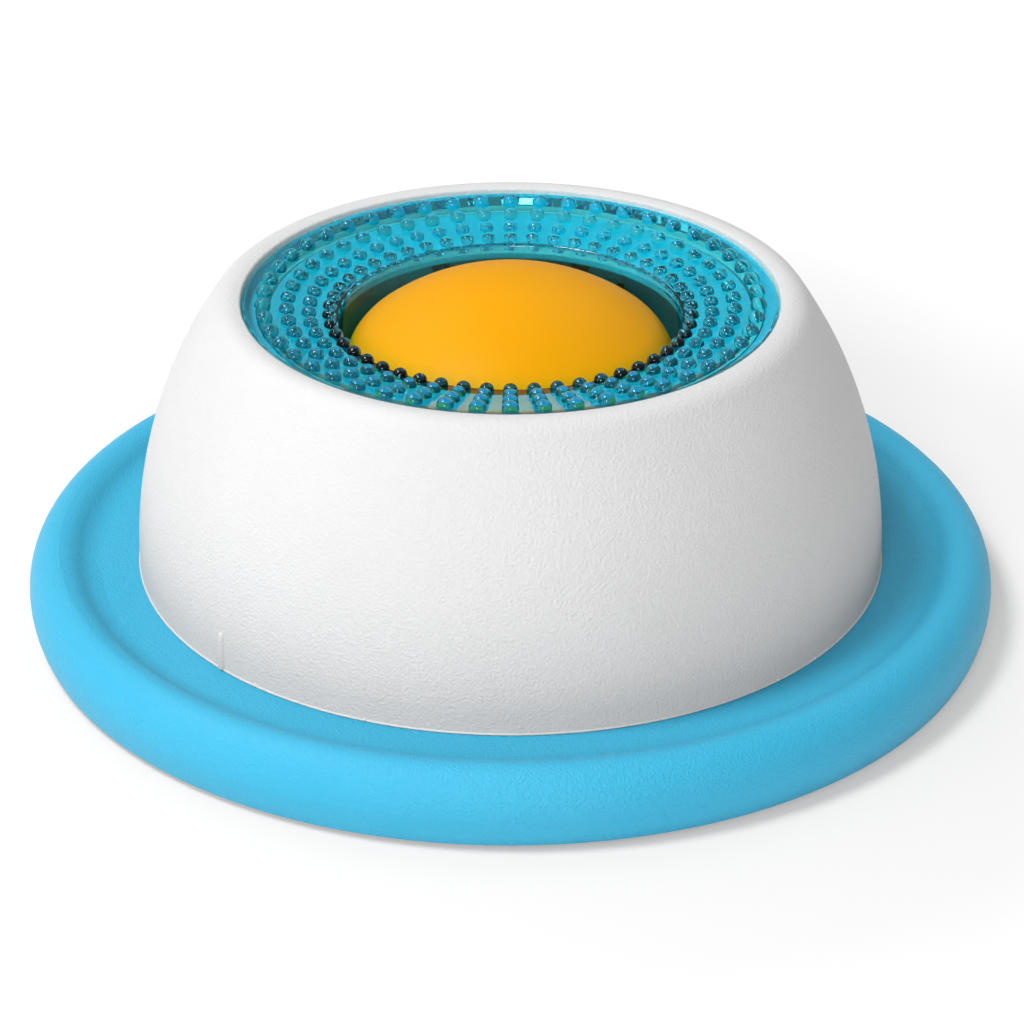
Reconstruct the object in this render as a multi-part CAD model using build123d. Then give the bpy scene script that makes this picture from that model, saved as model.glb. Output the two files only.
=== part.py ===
from build123d import *
import math
import os

# Treat dispensing dog toy. Millimetres, +Z up, origin on the ground under the middle, outlet towards +Y.
# Pressing the dome pushes the plunger down. The plunger's helical slots turn the rotor, whose pocket
# carries kibble from the hopper to the drop hole, down the chute and out into the tray's trough.

# General
overrun = 1.0               # how far a cut runs past the face it opens
screw_fit = 0.05            # radial room round every screw
touch_gap = 0.05            # room between flat faces of pieces that move apart
match_gap = 0.01            # how near an edge must be to be picked out
socket_share = 0.5          # hexagon socket against the head's radius
socket_depth_share = 0.6    # socket depth against the head's height
half_share = 0.5

# Dome button
dome_radius = 34.0
dome_rise = 20.4            # height of the dome above its widest ring
dome_shoulder = 13.5        # round of the dome's side, which runs into its flatter top
dome_wall = 2.5
dome_proud = 3.9            # top of the dome above the ring's edge
dome_floor_gap = 1.5        # left under the pressed dome
stroke = 10.0               # how far the dome is pressed
turn_angle = 60.0           # how far a full press turns the rotor
dome_boss_share = 0.8       # boss under the dome against the plunger's radius

# Nub ring
dome_clearance = 0.7        # round the dome, in the ring's well
ring_width = 19.4
ring_recess = 1.0           # ring's edge below the crest of the body's lip
ring_edge = 3.5             # height of the ring's edge
ring_plate = 3.0
ring_edge_flat = 1.0
ring_clearance = 0.3        # round the ring, in the body's seat
seat_edge_round = 0.6       # where the lip turns down to the ring
ring_edge_round = 0.8
well_edge_round = 1.0
dish_radius = 230.0         # ball that the dished face is part of
collar_wall = 2.3
collar_gap = 2.0            # collar's end above the rotor
skirt_wall = 2.4
skirt_depth = 7.4           # below the seat's ledge
skirt_clearance = 0.3
nub_count = 50              # nubs in each row
nub_row_shares = (0.1, 0.31, 0.54, 0.79)
nub_inner_radius = 1.45
nub_outer_radius = 1.8
nub_start_angle = 90.0      # a nub stands straight behind the dome
nub_lift_share = 0.15       # nub's middle above the dish, against its radius
nub_root_turn = 45.0        # how far round below its middle a nub reaches into the ring
nub_tip_turn = 80.0         # where the round of a nub ends in its small flat tip

# Lid liner
liner_thickness = 1.2
liner_fit = 0.1             # to the ring's collar and skirt

# Lid gasket
groove_depth = 1.2
groove_height = 2.4
groove_drop = 2.2           # groove below the seat's ledge
gasket_proud = 0.15
gasket_play = 0.1

# Body
body_radius = 77.0
body_height = 57.5          # tray's floor to the crest of the lip
body_wall = 3.2
body_straight = 2.2         # upright band at the foot
lip_round = 5.0
lip_run = 2.0               # seat's bore to the crest of the lip
seat_ledge = 2.2
flange_thickness = 3.4      # under the ring's seat
boss_radius = 4.5
boss_height = 12.0
boss_inset = 3.3            # boss's middle inside the body's inner face
boss_count = 4
boss_angle = 45.0
outlet_round = 8.0
outlet_gap = 0.4            # round the chute's mouth
outlet_head = 1.0           # top of the outlet above the chute's sides

# Tray
floor_height = 11.8         # top of the tray's floor
tray_wall = 3.0
trough_width = 8.0
rim_width = 15.0
rim_rise = 3.8              # crest of the rim above the floor
rim_crest_share = 0.567     # crest's place across the rim
rim_waist_share = 0.45      # height of the rim's widest ring
rim_inner_round = 5.0       # where the rim turns down to the trough
rim_tuck = 1.5
rim_clear = 0.8             # rim above the ground
hub_rim = 1.1               # left round the barrel's screw bosses
rib_count = 6
rib_angle = 30.0
rib_thickness = 2.2
rib_bottom = 3.0

# Anti-slip feet
foot_radius = 7.0
foot_circle = 62.0
foot_stand = 1.6            # cup above the ground
foot_seat = 2.0
foot_cup_wall = 2.0
foot_fit = 0.1

# Chassis plate
chassis_thickness = 3.0
chassis_gap = 0.3
standoff_height = 14.2
standoff_radius = 4.5
standoff_circle = 40.0
standoff_turns = (30.0, 150.0, 210.0, 330.0)
tray_boss_radius = 4.2
tray_boss_height = 6.0
tray_screw_circle = 50.0
tray_screw_turns = (0.0, 120.0, 240.0)

# Screws
screw_shank = 1.5
screw_head = 2.9
screw_head_height = 1.8
pilot_spare = 1.0           # pilot hole past the screw's tip
shell_screw_length = 11.0
tray_screw_length = 10.0
deck_screw_length = 10.0
barrel_screw_length = 9.0
dome_screw_shank = 2.0
dome_screw_head = 3.8
dome_screw_head_height = 2.6
dome_screw_bite = 9.0       # into the dome's boss
shield_screw_shank = 1.0
shield_screw_head = 2.0
shield_screw_head_height = 1.2

# Plunger, barrel and spring
plunger_radius = 11.0
plunger_wall = 2.5
plunger_flat = 9.9          # half width over the plunger's flats
plunger_clearance = 0.15
plunger_web = 3.0
plunger_floor_gap = 0.5     # under the pressed plunger
stop_flange = 2.0
stop_flange_reach = 1.8
stop_gap = 0.2
stop_clearance = 0.4
barrel_wall = 3.3
barrel_low_wall = 2.8
barrel_flange = 3.0
barrel_screw_count = 3
barrel_screw_angle = 90.0
barrel_screw_gap = 1.2      # screw heads clear of the barrel
barrel_boss_wall = 1.9
barrel_boss_depth = 6.5
cap_ground_gap = 2.5
cap_flange = 2.0
cap_plug = 3.0
cap_fit = 0.05
cap_spigot_radius = 4.5
cap_spigot_height = 3.0
spring_mean_radius = 6.2
spring_wire = 1.4
spring_turns = 8
journal_height = 4.0        # barrel inside the rotor's hub
washer_thickness = 1.0
washer_fit = 0.1

# Rotor and drive pins
rotor_height = 11.0
rotor_web = 2.5
rotor_plate = 2.5
rotor_wall = 2.5
rotor_dome_gap = 2.0        # rotor's well round the pressed dome
rotor_clearance = 0.5       # rotor above the deck
rotor_side_gap = 1.2
journal_clearance = 0.1
hub_clearance = 0.5
hub_wall = 3.0
pin_radius = 2.0
pin_tip_share = 0.9         # how much of the plunger's wall the pin crosses
slot_clearance = 0.2
slot_margin = 0.3
pocket_half = 12.5
pocket_wall = 2.0
fin_turns = (150.0, 210.0, 270.0, 330.0)
fin_height = 3.5
fin_thickness = 2.5
fin_inset = 3.5
fin_seat = 1.2              # depth of a fin's slot in the rotor
fin_fit = 0.05

# Hopper
deck_thickness = 2.5
deck_bore_gap = 0.3
drop_spare = 1.0            # drop hole past the pocket
hopper_wall_thickness = 2.0
hopper_gap = 0.4            # hopper wall inside the body
hopper_neck_gap = 0.6
funnel_lap = 1.2            # how deep the funnel sits in the step of the hopper's side
funnel_fit = 0.05
shield_gap = 1.0            # shield above the rotor
shield_plate = 2.0
shield_flange = 4.5
shield_angle = 48.0
shield_fit = 0.05
shield_collar_gap = 2.5
shield_screw_angle = 15.0
shield_head_room = 0.5
wiper_thickness = 1.5
wiper_gap = 0.3
wiper_inset = 1.5

# Chute
chute_half = 14.0
chute_wall = 2.0
chute_back = 1.5            # chute's back end behind the drop hole
chute_steep = 35.0          # slope at the top of the chute
chute_inset = 0.6           # mouth inside the body's face

# Places round the axis
hole_radius = dome_radius + dome_clearance
collar_radius = hole_radius + collar_wall
ring_radius = hole_radius + ring_width
seat_radius = ring_radius + ring_clearance
neck_radius = ring_radius - seat_ledge
skirt_radius = neck_radius - skirt_clearance
skirt_inner = skirt_radius - skirt_wall
crest_radius = seat_radius + lip_run
crease_radius = body_radius + trough_width
tray_radius = crease_radius + rim_width
rim_crest_radius = crease_radius + rim_width * rim_crest_share
inner_radius = body_radius - body_wall

# Places up the axis
foot_top = foot_stand + foot_seat
floor_under = floor_height - tray_wall
rim_crest = floor_height + rim_rise
rim_waist = rim_crest * rim_waist_share
rim_run = rim_crest_radius - crease_radius
rim_slope = 2 * math.atan2(rim_rise, rim_run)
rim_hollow = rim_run / math.sin(rim_slope) - rim_inner_round
arc_start = floor_height + body_straight
crest = floor_height + body_height
lip_middle = crest - lip_round
ring_top = crest - ring_recess
ledge = ring_top - ring_edge
flange_bottom = ledge - flange_thickness
dome_top = ring_top + dome_proud
equator = dome_top - dome_rise
chassis_top = floor_height + chassis_thickness
deck_bottom = chassis_top + standoff_height
deck_top = deck_bottom + deck_thickness
rotor_bottom = deck_top + rotor_clearance
rotor_top = rotor_bottom + rotor_height
web_top = rotor_bottom + rotor_web
dome_bottom = web_top + stroke + dome_floor_gap
barrel_top = rotor_bottom + journal_height
washer_top = barrel_top + washer_thickness
hub_step = washer_top + touch_gap
pin_height = (hub_step + rotor_top) * half_share
slot_half = pin_radius + slot_clearance
plunger_web_bottom = pin_height + stroke + slot_half + slot_margin
plunger_top = plunger_web_bottom + plunger_web
barrel_bottom = cap_ground_gap + cap_flange
cap_top = barrel_bottom + cap_plug
plunger_bottom = cap_top + stroke + plunger_floor_gap
stop_top = plunger_bottom + stop_flange
shoulder = stop_top + stop_gap
shield_bottom = rotor_top + shield_gap
shield_top = shield_bottom + shield_plate
hopper_bend = shield_top + shield_flange + shield_head_room
collar_bottom = rotor_top + collar_gap

# Body's curve: upright at the foot and running into the round of the lip
lip_reach = body_radius - crest_radius
lip_climb = lip_middle - arc_start
arc_radius = (lip_reach ** 2 + lip_climb ** 2 - lip_round ** 2) / (2 * (lip_reach - lip_round))
arc_middle = body_radius - arc_radius
arc_turn = math.degrees(math.atan2(lip_climb, crest_radius - arc_middle))
lip_turn = math.degrees(math.acos(-lip_run / lip_round))


def body_inside(height, room=0):
    """Radius of the body's inner face at a height, less some room."""
    reach = arc_radius - body_wall - room
    return arc_middle + math.sqrt(reach ** 2 - (height - arc_start) ** 2)


# Radii of the hopper, rotor and barrel
hopper_outer = body_inside(hopper_bend, hopper_gap)
hopper_inner = hopper_outer - hopper_wall_thickness
rotor_radius = hopper_inner - rotor_side_gap
rotor_inner = dome_radius + rotor_dome_gap
pocket_inner = rotor_inner + rotor_wall
pocket_outer = rotor_radius - rotor_wall
guide_bore = plunger_radius + plunger_clearance
guide_flat = plunger_flat + plunger_clearance
barrel_neck = guide_bore + barrel_wall
stop_radius = plunger_radius + stop_flange_reach
barrel_low_bore = stop_radius + stop_clearance
barrel_low = barrel_low_bore + barrel_low_wall
barrel_shoulder = shoulder + barrel_low_wall
plunger_bore = plunger_radius - plunger_wall
journal_bore = barrel_neck + journal_clearance
hub_bore = plunger_radius + hub_clearance
hub_radius = journal_bore + hub_wall
barrel_screw_circle = barrel_low + screw_head + barrel_screw_gap
barrel_flange_radius = barrel_screw_circle + screw_head + barrel_screw_gap
barrel_boss = screw_shank + barrel_boss_wall
tray_bore = barrel_screw_circle + barrel_boss + hub_rim
foot_cup = foot_radius + foot_cup_wall
pocket_rest = 90 - turn_angle


def turned(line, arc=360):
    """Solid turned about Z from a closed outline of radius and height."""
    return revolve(Plane.XZ * make_face(line), Axis.Z, arc)


def tube(inner, outer, bottom, top):
    """Upright tube between two radii and two heights."""
    corners = ((inner, bottom), (outer, bottom), (outer, top), (inner, top))
    return turned(Polyline(*corners, close=True))


def rod(radius, bottom, top):
    """Upright round bar."""
    return tube(0, radius, bottom, top)


def block(near, far, half, bottom, top):
    """Box reaching out along X from near to far, half wide to each side."""
    size = Box(far - near, 2 * half, top - bottom)
    return Pos((near + far) * half_share, 0, (bottom + top) * half_share) * size


def around(piece, turns):
    """Copies of a piece turned about Z."""
    return [Rot(0, 0, turn) * piece for turn in turns]


def even_turns(count, start):
    """Evenly spread angles."""
    return [start + 360 * number / count for number in range(count)]


def group(pieces):
    """Several like solids held as one node."""
    return Compound([solid for piece in pieces for solid in piece.solids()])


def socket(head_radius, head_height, bottom):
    """Hexagon socket cut up into a screw head."""
    hexagon = RegularPolygon(head_radius * socket_share, 6)
    return Pos(0, 0, bottom) * extrude(hexagon, head_height * socket_depth_share)


def pan_screw(head_radius, head_height, shank, length):
    """Screw pointing up, its head under height zero."""
    outline = ((0, -head_height), (head_radius, -head_height), (head_radius, 0),
               (shank, 0), (shank, length), (0, length))
    return turned(Polyline(*outline, close=True)) - socket(head_radius, head_height, -head_height)


def flat_screw(head_radius, head_height, shank, length):
    """Countersunk screw pointing up, its head flush at height zero."""
    outline = ((0, 0), (head_radius, 0), (shank, head_height), (shank, length), (0, length))
    return turned(Polyline(*outline, close=True)) - socket(head_radius, head_height, 0)


def flat_screw_hole(head_radius, head_height, shank, depth):
    """Countersunk hole for flat_screw."""
    outline = ((0, -overrun), (head_radius + screw_fit, -overrun), (head_radius + screw_fit, 0),
               (shank + screw_fit, head_height), (shank + screw_fit, depth), (0, depth))
    return turned(Polyline(*outline, close=True))


def round_rings(piece, radius, height, size):
    """Round the turned edge of a piece at one radius and height."""
    rings = [edge for edge in piece.edges().filter_by(GeomType.CIRCLE)
             if abs(edge.radius - radius) < match_gap and abs(edge.arc_center.Z - height) < match_gap]
    return fillet(rings, size)


# Places of the screws
shell_screw_circle = inner_radius - boss_inset
shell_screw_turns = even_turns(boss_count, boss_angle)
barrel_screw_turns = even_turns(barrel_screw_count, barrel_screw_angle)
screw_hole = screw_shank + screw_fit


# Tray
def rim_inside(depth):
    """Arcs from the rim's crest, round at the top and hollow at the foot, to the trough, or that far below."""
    swing = math.degrees(rim_slope)
    crown = CenterArc((rim_crest_radius, rim_crest - rim_inner_round), rim_inner_round - depth, 90, swing)
    hollow = CenterArc((crease_radius, floor_height + rim_hollow), rim_hollow + depth, -90, swing)
    return crown, hollow


def base_tray():
    """Dished tray with a rolled rim, stiffened and cupped for feet underneath."""
    rim_reach = tray_radius - rim_crest_radius
    rim_lift = rim_crest - rim_waist
    foot_edge = tray_radius - rim_tuck
    outline = [
        EllipticalCenterArc((rim_crest_radius, rim_waist), rim_reach, rim_lift, 0, arc_size=90),
        *rim_inside(0),
        Polyline((crease_radius, floor_height), (tray_bore, floor_height), (tray_bore, floor_under),
                 (crease_radius, floor_under)),
        *rim_inside(tray_wall),
        EllipticalCenterArc((rim_crest_radius, rim_waist), rim_reach - tray_wall, rim_lift - tray_wall, 0,
                            arc_size=90),
        Polyline((tray_radius - tray_wall, rim_waist), (foot_edge - tray_wall, rim_clear),
                 (foot_edge, rim_clear)),
        TangentArc((tray_radius, rim_waist), (foot_edge, rim_clear), tangent=(0, -1)),
    ]
    tray = turned(outline)
    floor_middle = floor_under + tray_wall * half_share
    rib_turns = even_turns(rib_count, rib_angle)
    rib = block(tray_bore + tray_wall, foot_edge - tray_wall * half_share, rib_thickness * half_share,
                rib_bottom, floor_middle)
    cup = Pos(foot_circle, 0, 0) * rod(foot_cup, foot_stand, floor_middle)
    tray += [tube(tray_bore, tray_bore + tray_wall + overrun, rib_bottom, floor_middle)]
    tray += around(rib, rib_turns) + around(cup, rib_turns)
    seat = Pos(foot_circle, 0, 0) * rod(foot_radius + foot_fit, foot_stand - overrun, foot_top)
    hole = Pos(tray_screw_circle, 0, 0) * rod(screw_hole, rib_bottom, floor_height + overrun)
    return tray - around(seat, rib_turns) - around(hole, tray_screw_turns)


def anti_slip_feet():
    """Rubber pads in the tray's cups."""
    foot = Pos(foot_circle, 0, 0) * rod(foot_radius, 0, foot_top)
    return group(around(foot, even_turns(rib_count, rib_angle)))


def tray_screws():
    """Screws up through the tray into the chassis."""
    screw = pan_screw(screw_head, screw_head_height, screw_shank, tray_screw_length)
    return group(around(Pos(tray_screw_circle, 0, floor_under) * screw, tray_screw_turns))


# Body
def body_outside():
    """Solid filled out to the body's outer face, less some room."""
    climb = math.sqrt(lip_round ** 2 - lip_run ** 2)
    outline = [
        Polyline((0, floor_height), (body_radius, floor_height), (body_radius, arc_start)),
        CenterArc((arc_middle, arc_start), arc_radius, 0, arc_turn),
        CenterArc((crest_radius, lip_middle), lip_round, arc_turn, lip_turn - arc_turn),
        Polyline((seat_radius, lip_middle + climb), (0, lip_middle + climb), (0, floor_height)),
    ]
    return turned(outline)


def body_cavity(room):
    """Hollow of the body under its top flange, less some room."""
    reach = arc_radius - body_wall - room
    end = math.degrees(math.asin((flange_bottom - arc_start) / reach))
    foot = inner_radius - room
    outline = [
        Polyline((0, floor_height), (foot, floor_height), (foot, arc_start)),
        CenterArc((arc_middle, arc_start), reach, 0, end),
        Polyline((body_inside(flange_bottom, room), flange_bottom), (0, flange_bottom), (0, floor_height)),
    ]
    return turned(outline)


def outlet_shape(room):
    """Arched passage out through the back of the body, less some room."""
    half = chute_half + chute_wall + outlet_gap - room
    top = deck_bottom + outlet_head - room
    arch = Rectangle(2 * half, 2 * top)
    arch = fillet(arch.vertices(), outlet_round - room)
    passage = extrude(Plane.XZ * arch, -(body_radius + overrun))
    return passage & block_back(half + overrun, top + overrun)


def block_back(half, top):
    """Box over the back half of the part, above the tray's floor."""
    reach = body_radius + overrun
    return Pos(0, reach * half_share, 0) * block(-half, half, reach * half_share, floor_height, top)


seat_edge = lip_middle + math.sqrt(lip_round ** 2 - (crest_radius - seat_radius) ** 2)


def outer_shell():
    """Domed body with the ring's seat, four screw bosses and the outlet at the back."""
    outside = body_outside()
    shell = outside - body_cavity(0)
    shell -= rod(neck_radius, flange_bottom - overrun, ledge + overrun)
    shell -= rod(seat_radius, ledge, crest + overrun)
    shell = round_rings(shell, seat_radius, seat_edge, seat_edge_round)
    boss = Pos(shell_screw_circle, 0, 0) * rod(boss_radius, chassis_top, chassis_top + boss_height)
    shell += [post & outside for post in around(boss, shell_screw_turns)]
    pilot_top = floor_height + shell_screw_length + pilot_spare
    pilot = Pos(shell_screw_circle, 0, 0) * rod(screw_hole, chassis_top - overrun, pilot_top)
    return shell - around(pilot, shell_screw_turns) - outlet_shape(0)


# Chassis
def chassis_plate():
    """Floor inside the body with posts for the deck and bosses for the screws."""
    plate = tube(barrel_low + chassis_gap, inner_radius - chassis_gap, floor_height, chassis_top)
    post = Pos(standoff_circle, 0, 0) * rod(standoff_radius, chassis_top, deck_bottom)
    boss = Pos(tray_screw_circle, 0, 0) * rod(tray_boss_radius, chassis_top, chassis_top + tray_boss_height)
    stud = Pos(barrel_screw_circle, 0, 0) * rod(barrel_boss, floor_height - barrel_boss_depth, floor_height)
    plate += around(post, standoff_turns) + around(boss, tray_screw_turns) + around(stud, barrel_screw_turns)
    post_floor = deck_top - deck_screw_length - pilot_spare
    post_pilot = Pos(standoff_circle, 0, 0) * rod(screw_hole, post_floor, deck_bottom + overrun)
    boss_end = floor_under + tray_screw_length + pilot_spare
    boss_pilot = Pos(tray_screw_circle, 0, 0) * rod(screw_hole, floor_height - overrun, boss_end)
    stud_floor = chassis_top + barrel_flange - barrel_screw_length - pilot_spare
    stud_pilot = Pos(barrel_screw_circle, 0, 0) * rod(screw_hole, stud_floor, chassis_top + overrun)
    sink = flat_screw_hole(screw_head, screw_head_height, screw_shank, chassis_thickness + overrun)
    sink = Pos(shell_screw_circle, 0, floor_height) * sink
    plate = plate - around(post_pilot, standoff_turns) - around(boss_pilot, tray_screw_turns)
    return plate - around(stud_pilot, barrel_screw_turns) - around(sink, shell_screw_turns)


def shell_screws():
    """Countersunk screws up through the chassis into the body's bosses."""
    screw = flat_screw(screw_head, screw_head_height, screw_shank, shell_screw_length)
    return group(around(Pos(shell_screw_circle, 0, floor_height) * screw, shell_screw_turns))


# Plunger and its guide
def keyed(radius, half_width, bottom, top):
    """Upright bar with two flats."""
    return rod(radius, bottom, top) & block(-half_width, half_width, 2 * radius, bottom, top)


def guide_barrel():
    """Flanged guide: keyed bore above, stop chamber below."""
    outline = ((0, barrel_bottom), (barrel_low, barrel_bottom), (barrel_low, chassis_top),
               (barrel_flange_radius, chassis_top), (barrel_flange_radius, chassis_top + barrel_flange),
               (barrel_low, chassis_top + barrel_flange), (barrel_low, barrel_shoulder),
               (barrel_neck, barrel_shoulder), (barrel_neck, barrel_top), (0, barrel_top))
    barrel = turned(Polyline(*outline, close=True))
    barrel -= rod(barrel_low_bore, barrel_bottom - overrun, shoulder)
    barrel -= keyed(guide_bore, guide_flat, shoulder - overrun, barrel_top + overrun)
    hole = rod(screw_hole, chassis_top - overrun, chassis_top + barrel_flange + overrun)
    return barrel - around(Pos(barrel_screw_circle, 0, 0) * hole, barrel_screw_turns)


def barrel_screws():
    """Screws down through the barrel's flange."""
    screw = Rot(180, 0, 0) * pan_screw(screw_head, screw_head_height, screw_shank, barrel_screw_length)
    return group(around(Pos(barrel_screw_circle, 0, chassis_top + barrel_flange) * screw, barrel_screw_turns))


def barrel_cap():
    """Plug that closes the barrel and centres the spring."""
    plug = barrel_low_bore - cap_fit
    spigot_top = cap_top + cap_spigot_height
    outline = ((0, cap_ground_gap), (barrel_low, cap_ground_gap), (barrel_low, barrel_bottom),
               (plug, barrel_bottom), (plug, cap_top), (cap_spigot_radius, cap_top),
               (cap_spigot_radius, spigot_top), (0, spigot_top))
    return turned(Polyline(*outline, close=True))


def helix_slot(start_turn):
    """Cutter for one helical slot with round ends."""
    middle = plunger_radius - plunger_wall * half_share
    path = Pos(0, 0, pin_height) * Rot(0, 0, start_turn) * Helix(stroke * 360 / turn_angle, stroke, middle)
    heading = math.radians(start_turn)
    start = Plane(origin=path @ 0, x_dir=(math.cos(heading), math.sin(heading), 0), z_dir=path % 0)
    cut = sweep(start * Rectangle(2 * plunger_wall, 2 * slot_half), path=path, is_frenet=True)
    end = Rot(0, 90, 0) * rod(slot_half, plunger_bore - overrun, plunger_radius + overrun)
    first = Pos(0, 0, pin_height) * Rot(0, 0, start_turn) * end
    last = Pos(0, 0, pin_height + stroke) * Rot(0, 0, start_turn + turn_angle) * end
    return [cut, first, last]


def plunger():
    """Keyed tube with a stop flange and two helical slots."""
    body = keyed(plunger_radius, plunger_flat, plunger_bottom, plunger_top)
    body += rod(stop_radius, plunger_bottom, stop_top)
    body -= rod(plunger_bore, plunger_bottom - overrun, plunger_web_bottom)
    body -= rod(dome_screw_shank + screw_fit, plunger_web_bottom - overrun, plunger_top + overrun)
    for turn in pin_turns:
        body -= helix_slot(turn)
    return body


def dome_line(inset):
    """Two arcs from the dome's widest ring to its top, inset from the outer face."""
    reach = dome_radius - dome_shoulder
    crown = (dome_radius ** 2 + dome_rise ** 2 - 2 * dome_radius * dome_shoulder) / (2 * (dome_rise - dome_shoulder))
    turn = math.degrees(math.atan2(crown - dome_rise, reach))
    return [CenterArc((reach, equator), dome_shoulder - inset, 0, turn),
            CenterArc((0, dome_top - crown), crown - inset, turn, 90 - turn)]


def dome_button():
    """Flattened dome with a skirt and a boss for its screw."""
    inner = dome_radius - dome_wall
    outline = dome_line(0) + dome_line(dome_wall) + [
        Line((0, dome_top), (0, dome_top - dome_wall)),
        Polyline((inner, equator), (inner, dome_bottom), (dome_radius, dome_bottom), (dome_radius, equator)),
    ]
    boss = rod(plunger_radius * dome_boss_share, plunger_top, dome_top - dome_wall * half_share)
    pilot = rod(dome_screw_shank + screw_fit, plunger_top - overrun, plunger_top + dome_screw_bite + pilot_spare)
    return turned(outline) + boss - pilot


def dome_screw():
    """Screw up through the plunger into the dome's boss."""
    length = plunger_web + dome_screw_bite
    screw = pan_screw(dome_screw_head, dome_screw_head_height, dome_screw_shank, length)
    return Pos(0, 0, plunger_web_bottom) * screw


def return_spring():
    """One unbroken coil between the barrel's cap and the plunger's web."""
    wire = spring_wire * half_share
    low = cap_top + wire + touch_gap
    high = plunger_web_bottom - wire - touch_gap
    pitch = (high - low) / spring_turns
    print("least gap of the spring to itself, mm:", round(pitch - spring_wire, 2))
    path = Pos(0, 0, low) * Helix(pitch, high - low, spring_mean_radius)
    section = Plane(origin=path @ 0, z_dir=path % 0) * Circle(wire)
    return sweep(section, path=path, is_frenet=True)


# Rotor
pin_turns = (pocket_rest + 30, pocket_rest + 210)


def fin_shape(room, top):
    """Upright blade from the floor of its slot to a height, with some room round it."""
    near, far = pocket_inner + fin_inset - room, pocket_outer - fin_inset + room
    return block(near, far, fin_thickness * half_share + room, rotor_top - fin_seat, top)


def metering_rotor():
    """Dished rotor with one through pocket, slots for the fins and a hub on the barrel."""
    plate_bottom = rotor_top - rotor_plate
    outline = ((journal_bore, rotor_bottom), (pocket_inner, rotor_bottom), (pocket_inner, plate_bottom),
               (pocket_outer, plate_bottom), (pocket_outer, rotor_bottom), (rotor_radius, rotor_bottom),
               (rotor_radius, rotor_top), (rotor_inner, rotor_top), (rotor_inner, web_top),
               (hub_radius, web_top), (hub_radius, rotor_top), (hub_bore, rotor_top), (hub_bore, hub_step),
               (journal_bore, hub_step))
    rotor = turned(Polyline(*outline, close=True))
    reach = rotor_radius + overrun
    frame = block(0, reach, pocket_half + pocket_wall, rotor_bottom, rotor_top)
    frame &= tube(rotor_inner, rotor_radius, rotor_bottom, rotor_top)
    rotor += Rot(0, 0, pocket_rest) * frame
    pocket = block(0, reach, pocket_half, rotor_bottom - overrun, rotor_top + overrun)
    pocket &= tube(pocket_inner, pocket_outer, rotor_bottom - overrun, rotor_top + overrun)
    rotor -= Rot(0, 0, pocket_rest) * pocket
    rotor -= around(fin_shape(fin_fit, rotor_top + overrun), fin_turns)
    hole = Rot(0, 90, 0) * rod(pin_radius + screw_fit, hub_bore - overrun, hub_radius + overrun)
    return rotor - around(Pos(0, 0, pin_height) * hole, pin_turns)


def stirring_fins():
    """Blades pressed into the rotor's slots, which keep the kibble moving."""
    return group(around(fin_shape(0, rotor_top + fin_height), fin_turns))


def drive_pins():
    """Steel pins in the hub, running in the plunger's slots."""
    tip = plunger_radius - plunger_wall * pin_tip_share
    pin = Pos(0, 0, pin_height) * Rot(0, 90, 0) * rod(pin_radius, tip, hub_radius)
    return group(around(pin, pin_turns))


def thrust_washer():
    """Washer between the barrel and the rotor's hub."""
    return tube(hub_bore, barrel_neck - washer_fit, barrel_top, washer_top)


# Hopper
def drop_sector(spare, bottom, top):
    """Upright passage over the pocket's place at the outlet side."""
    passage = block(0, rotor_radius + overrun, pocket_half + spare, bottom, top)
    return Rot(0, 0, 90) * (passage & tube(pocket_inner - spare, pocket_outer + spare, bottom, top))


def hopper_deck():
    """Fixed floor under the rotor with the drop hole."""
    deck = tube(barrel_neck + deck_bore_gap, hopper_outer, deck_bottom, deck_top)
    deck -= drop_sector(drop_spare, deck_bottom - overrun, deck_top + overrun)
    sink = flat_screw_hole(screw_head, screw_head_height, screw_shank, deck_thickness + overrun)
    sink = Pos(standoff_circle, 0, deck_top) * Rot(180, 0, 0) * sink
    return deck - around(sink, standoff_turns)


def deck_screws():
    """Countersunk screws down into the chassis posts."""
    screw = Rot(180, 0, 0) * flat_screw(screw_head, screw_head_height, screw_shank, deck_screw_length)
    return group(around(Pos(standoff_circle, 0, deck_top) * screw, standoff_turns))


def hopper_wall():
    """Upright side of the hopper, stepped at the top for the funnel."""
    step = hopper_inner + hopper_wall_thickness * half_share
    outline = ((hopper_inner, deck_top), (hopper_outer, deck_top), (hopper_outer, hopper_bend),
               (step, hopper_bend), (step, hopper_bend - funnel_lap), (hopper_inner, hopper_bend - funnel_lap))
    wall = turned(Polyline(*outline, close=True))
    return wall - around(shield_screw_hole(hopper_outer + overrun), shield_screw_turns)


def hopper_funnel():
    """Cone between the hopper's side and the filling mouth, lapped into the side's step."""
    mouth = neck_radius + hopper_neck_gap
    lap = hopper_inner + hopper_wall_thickness * half_share - funnel_fit
    outline = ((hopper_inner, hopper_bend - funnel_lap), (lap, hopper_bend - funnel_lap), (lap, hopper_bend),
               (hopper_outer, hopper_bend), (mouth + hopper_wall_thickness, flange_bottom),
               (mouth, flange_bottom), (hopper_inner, hopper_bend))
    return turned(Polyline(*outline, close=True))


shield_outer = hopper_inner - shield_fit
shield_inner = collar_radius + shield_collar_gap
shield_screw_turns = (90 - shield_screw_angle, 90 + shield_screw_angle)
shield_screw_height = shield_top + shield_flange * half_share
shield_face = shield_outer - shield_plate
shield_screw_seat = math.sqrt(shield_face ** 2 - shield_screw_head ** 2)


def shield_screw_hole(far):
    """Radial hole for a shield screw, from its head's face outwards."""
    hole = rod(shield_screw_shank + screw_fit, shield_face - overrun, far)
    return Pos(0, 0, shield_screw_height) * Rot(0, 90, 0) * hole


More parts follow.
